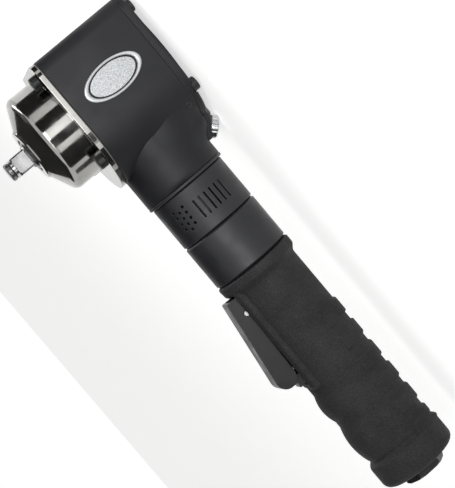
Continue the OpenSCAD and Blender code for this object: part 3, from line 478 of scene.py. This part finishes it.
# ---------------------------------------------------------------- Exhaust collar and coupling
# Turned aluminium, anodised satin black, as is the handle core under it.
# The exhaust collar turns between the lip ring and the coupling sleeve, which are fixed.
anodised = Finish("black_anodised_aluminium", (0.014, 0.0141, 0.017), 0.40, Specular_IOR_Level=0.42)
anodised.soften(0.0004)
anodised.bump(anodised.noise(1.0, 2, at=anodised.place(scale=(2600, 40, 40))), 0.000012, 0.5)
anodised.bump(anodised.noise(1400, 2), 0.00002, 0.35)
tone = anodised.spread(anodised.noise(60, 3), 0.35, 0.7)
anodised.tint(tone, (0.0125, 0.0127, 0.0155), (0.0175, 0.0177, 0.021))
anodised.tint(anodised.edges(0.0005, 0.04, 0.35), None, (0.07, 0.07, 0.075))
anodised.vary("Roughness", anodised.noise(150, 3), 0.36, 0.48)
dress(anodised, "neck_lip_ring", "exhaust_collar", "coupling_sleeve", "handle_core")

# ---------------------------------------------------------------- Grip
# One moulding of pebbled nitrile rubber over the handle core: flange and flare at its ends,
# six pads behind, two swells for the fingers and a raised rim round the lever's bay.
rubber = Finish("pebbled_grip_rubber", (0.022, 0.022, 0.024), 0.66, Specular_IOR_Level=0.35)
rubber.bump(rubber.cells(1500, "SMOOTH_F1", 0.5), 0.00022, 0.9)
rubber.bump(rubber.noise(2600, 3), 0.00005, 0.6)
rubber.tint(rubber.spread(rubber.cells(1500), 0.1, 0.6), (0.030, 0.030, 0.0325), (0.012, 0.012, 0.013))
rubber.vary("Roughness", rubber.noise(90, 3), 0.62, 0.78)
grip_low, grip_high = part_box("grip")
x0, x1 = grip_low[0], grip_high[0]
bore, tube_r, flange_r, flare_r = 0.01503, 0.0189, 0.0212, 0.0207
bay_x0, bay_x1, bay_half = 0.1126, 0.1679, 0.0084
pad_count, pad_start, pad_pitch, pad_half, pad_rise = 6, 0.145, 0.0135, 0.0042, 0.0011
# Middle, length and rise of each finger swell.
swells = ((0.184, 0.016, 0.0017), (0.206, 0.021, 0.0018))


def step(value, low, high):
    """Rises smoothly from 0 at low to 1 at high."""
    t = np.clip((value - low) / (high - low), 0, 1)
    return t * t * (3 - 2 * t)


def tube_profile(x):
    """Radius of the plain moulding: flange, taper, tube, groove and flare."""
    r = np.full_like(x, tube_r)
    r += (flange_r - tube_r) * (1 - step(x, x0 + 0.0042, x0 + 0.0085))
    r -= 0.0005 * step(x, x1 - 0.0175, x1 - 0.0165) * (1 - step(x, x1 - 0.0152, x1 - 0.0142))
    r += (flare_r - tube_r) * step(x, x1 - 0.0165, x1 - 0.0120)
    return r


def grip_radius(x, a):
    """Radius at x and angle a from the lever's side: profile, plus pads, swells and the bay's rim."""
    r = tube_profile(x)
    behind_grip = step(np.abs(a), radians(105), radians(108))
    for number in range(pad_count):
        mid = pad_start + number * pad_pitch + pad_half
        r = r + pad_rise * (1 - step(np.abs(x - mid), 0.0037, 0.0045)) * behind_grip
    for mid, length, rise in swells:
        bow = np.clip(1 - ((x - mid) / (length / 2)) ** 2, 0, 1)
        r = r + rise * bow * (1 - step(np.abs(a), radians(38), radians(68)))
    y, z = np.abs(np.sin(a)) * r, np.cos(a) * r
    inside = step(x, x0 + 0.0015, x0 + 0.0035) * (1 - step(x, bay_x1 + 0.0025, bay_x1 + 0.0040))
    rim = np.minimum(0.0208, 0.0186 / np.maximum(np.cos(a), 0.2))
    near = inside * (1 - step(y, bay_half + 0.0026, bay_half + 0.0036)) * (z > 0)
    return r + near * np.maximum(rim - r, -0.0002)


along = np.unique(np.concatenate([np.arange(x0, x1, 0.0006), [bay_x0, bay_x1, x1]]))
turn = 288
phi = np.linspace(-np.pi, np.pi, turn, endpoint=False)
edge_phi = phi[np.argmin(np.abs(phi - radians(25)))]


def bay_angle(phi, r):
    """Angle at radius r for column phi, so that one column follows the bay's flat wall."""
    wall = np.arcsin(np.minimum(bay_half / r, 0.9))
    flat = np.abs(phi)
    inner = flat * wall / edge_phi
    outer = wall + (flat - edge_phi) * (np.pi - wall) / (np.pi - edge_phi)
    return np.sign(phi) * np.where(flat <= edge_phi, inner, outer)


xx, pp = np.meshgrid(along, phi, indexing="ij")
aa = bay_angle(pp, np.full_like(pp, 0.0195))
rr = grip_radius(xx, aa)
for _ in range(2):
    aa = bay_angle(pp, rr)
    rr = grip_radius(xx, aa)


def rolled_in(past, radius):
    """How far an end's edge has rolled in, where past is how far the point is into the rounding."""
    return radius * (1 - np.sqrt(np.clip(1 - np.clip(past / radius, 0, 1) ** 2, 0, 1)))


end_round, flare_round = 0.0007, 0.0040
rr = rr - rolled_in(x0 + end_round - xx, end_round)
rr = rr - rolled_in(xx - x1 + flare_round, flare_round)
inner_a = bay_angle(pp, np.full_like(pp, bore))
outside = np.stack([xx, np.sin(aa) * rr, axis_z + np.cos(aa) * rr], -1)
bore_wall = np.stack([xx, np.sin(inner_a) * bore, axis_z + np.cos(inner_a) * bore], -1)[::-1]
ring = np.concatenate([outside, bore_wall])
# The bay is left open: the rows and columns of faces that lie between its ends and edges.
hair = 1e-6
outside_open = (along > bay_x0 - hair) & (along < bay_x1 - hair)
bore_open = ((along > bay_x0 + hair) & (along < bay_x1 + hair))[::-1]
row_open = np.concatenate([outside_open, bore_open])
col_open = (phi >= -edge_phi - hair) & (phi < edge_phi - hair)
keep = ~(row_open[:, None] & col_open[None, :])
grip = skin("rubber_grip", ring, rubber, "housing", ("grip",), wrap_u=True, wrap_v=True, keep=keep)

# ---------------------------------------------------------------- Throttle lever
# Pressed steel channel in black oxide, deep at its round free end.
# It rocks on a cross pin and pushes the throttle plunger.
lever_black = Finish("lever_black", (0.012, 0.012, 0.0135), 0.42, Specular_IOR_Level=0.4)
lever_black.soften(0.0004)
lever_black.tint(lever_black.edges(0.0005, 0.05, 0.35), None, (0.12, 0.12, 0.125))
lever_black.vary("Roughness", lever_black.noise(140, 4), 0.34, 0.50)
lever_black.bump(lever_black.noise(1300, 3), 0.00003, 0.5)
dress(lever_black, "throttle_lever")
